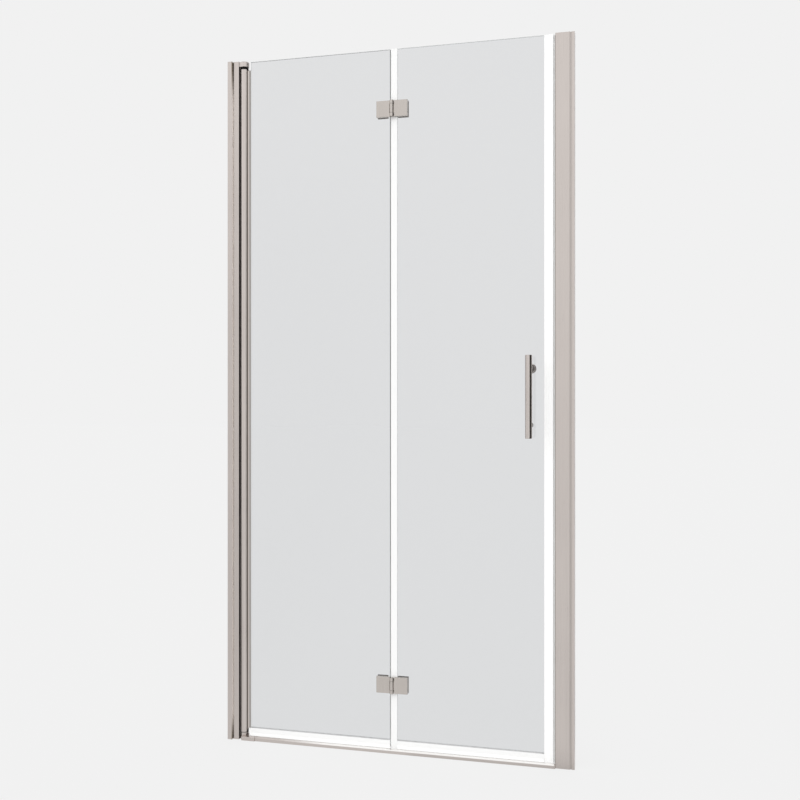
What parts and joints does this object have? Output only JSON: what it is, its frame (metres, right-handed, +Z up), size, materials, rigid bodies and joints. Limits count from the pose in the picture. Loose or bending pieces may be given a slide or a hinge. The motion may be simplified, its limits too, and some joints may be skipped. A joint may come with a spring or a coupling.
{
  "type": "bi-fold pivot shower door",
  "caption": "Recess shower door: a clear glass leaf turns on a rise-and-fall pivot tube at the wall and a second glass leaf folds on it by clamp hinges, with a bar handle.",
  "frame": {"origin": "on the tray, half way between the two walls, in the middle plane of the closed glass", "axes": "+X from the pivot wall to the strike wall, +Y into the shower, +Z up"},
  "size_m": [0.985, 0.0882, 1.95],
  "materials": {
    "nickel_profile": "brushed nickel on extruded aluminium",
    "nickel_fitting": "brushed nickel",
    "plain_steel": "plain stainless",
    "black_nylon": "moulded, matt",
    "white_seal": "soft extruded seal, white",
    "clear_plastic": "milky, satin",
    "grey_gasket": "dark grey rubber",
    "magnet_rubber": "magnetic rubber strip",
    "clear_glass": "clear toughened glass, polished edges"
  },
  "bodies": {
    "frame": {"left_wall_channel": "nickel_profile", "left_jamb_profile": "nickel_profile", "left_profile_cap": "black_nylon", "profile_screws": "plain_steel", "screw_cover_caps": "nickel_fitting", "top_pivot_cap": "nickel_fitting", "top_pivot_pin": "plain_steel", "pivot_bracket_screws": "plain_steel", "bottom_pivot_bracket": "nickel_fitting", "pivot_sleeve": "nickel_fitting", "bottom_pivot_pin": "plain_steel", "fixed_cam": "black_nylon", "threshold_rail": "nickel_profile", "rail_end_cap": "nickel_fitting", "right_wall_channel": "nickel_profile", "strike_profile": "nickel_profile", "strike_magnet_strip": "clear_plastic", "strike_profile_cap": "black_nylon"},
    "lift_bush": {"lift_bush": "black_nylon"},
    "pivot_leaf": {"pivot_tube_profile": "nickel_profile", "tube_top_plug": "black_nylon", "leaf_cam": "black_nylon", "front_glass_gasket": "grey_gasket", "rear_glass_gasket": "grey_gasket", "pivot_glass": "clear_glass", "pivot_drip_seal": "white_seal", "upper_hinge_pivot_leaf": "nickel_fitting", "lower_hinge_pivot_leaf": "nickel_fitting", "upper_pivot_back_plate": "nickel_fitting", "lower_pivot_back_plate": "nickel_fitting", "pivot_clamp_gaskets": "grey_gasket", "pivot_clamp_screws": "plain_steel", "upper_hinge_pin": "plain_steel", "lower_hinge_pin": "plain_steel", "knuckle_washers": "black_nylon"},
    "fold_leaf": {"fold_glass": "clear_glass", "gap_seal": "white_seal", "magnetic_seal": "white_seal", "seal_magnet": "magnet_rubber", "fold_drip_seal": "white_seal", "upper_hinge_fold_leaf": "nickel_fitting", "lower_hinge_fold_leaf": "nickel_fitting", "upper_fold_back_plate": "nickel_fitting", "lower_fold_back_plate": "nickel_fitting", "fold_clamp_gaskets": "grey_gasket", "fold_clamp_screws": "plain_steel", "handle_bar": "nickel_fitting", "upper_handle_post": "nickel_fitting", "lower_handle_post": "nickel_fitting", "handle_washers": "clear_plastic", "handle_studs": "plain_steel", "inner_knob": "nickel_fitting", "lower_cap_nut": "nickel_fitting"}
  },
  "joints": [
    {"name": "leaf_lift", "type": "slide", "parent": "frame", "child": "lift_bush", "axis": [0, 0, 1], "range_m": [0, 0.005]},
    {"name": "leaf_pivot", "type": "hinge", "parent": "lift_bush", "child": "pivot_leaf", "pos_m": [-0.4485, 0, 0], "axis": [0, 0, 1], "range_deg": [0, 90]},
    {"name": "leaf_fold", "type": "hinge", "parent": "pivot_leaf", "child": "fold_leaf", "pos_m": [-0.0065, -0.012, 0], "axis": [0, 0, -1], "range_deg": [0, 170]}
  ],
  "couplings": [
    {"joint": "leaf_lift", "follows": "leaf_pivot", "m_per_rad": 0.003183}
  ]
}
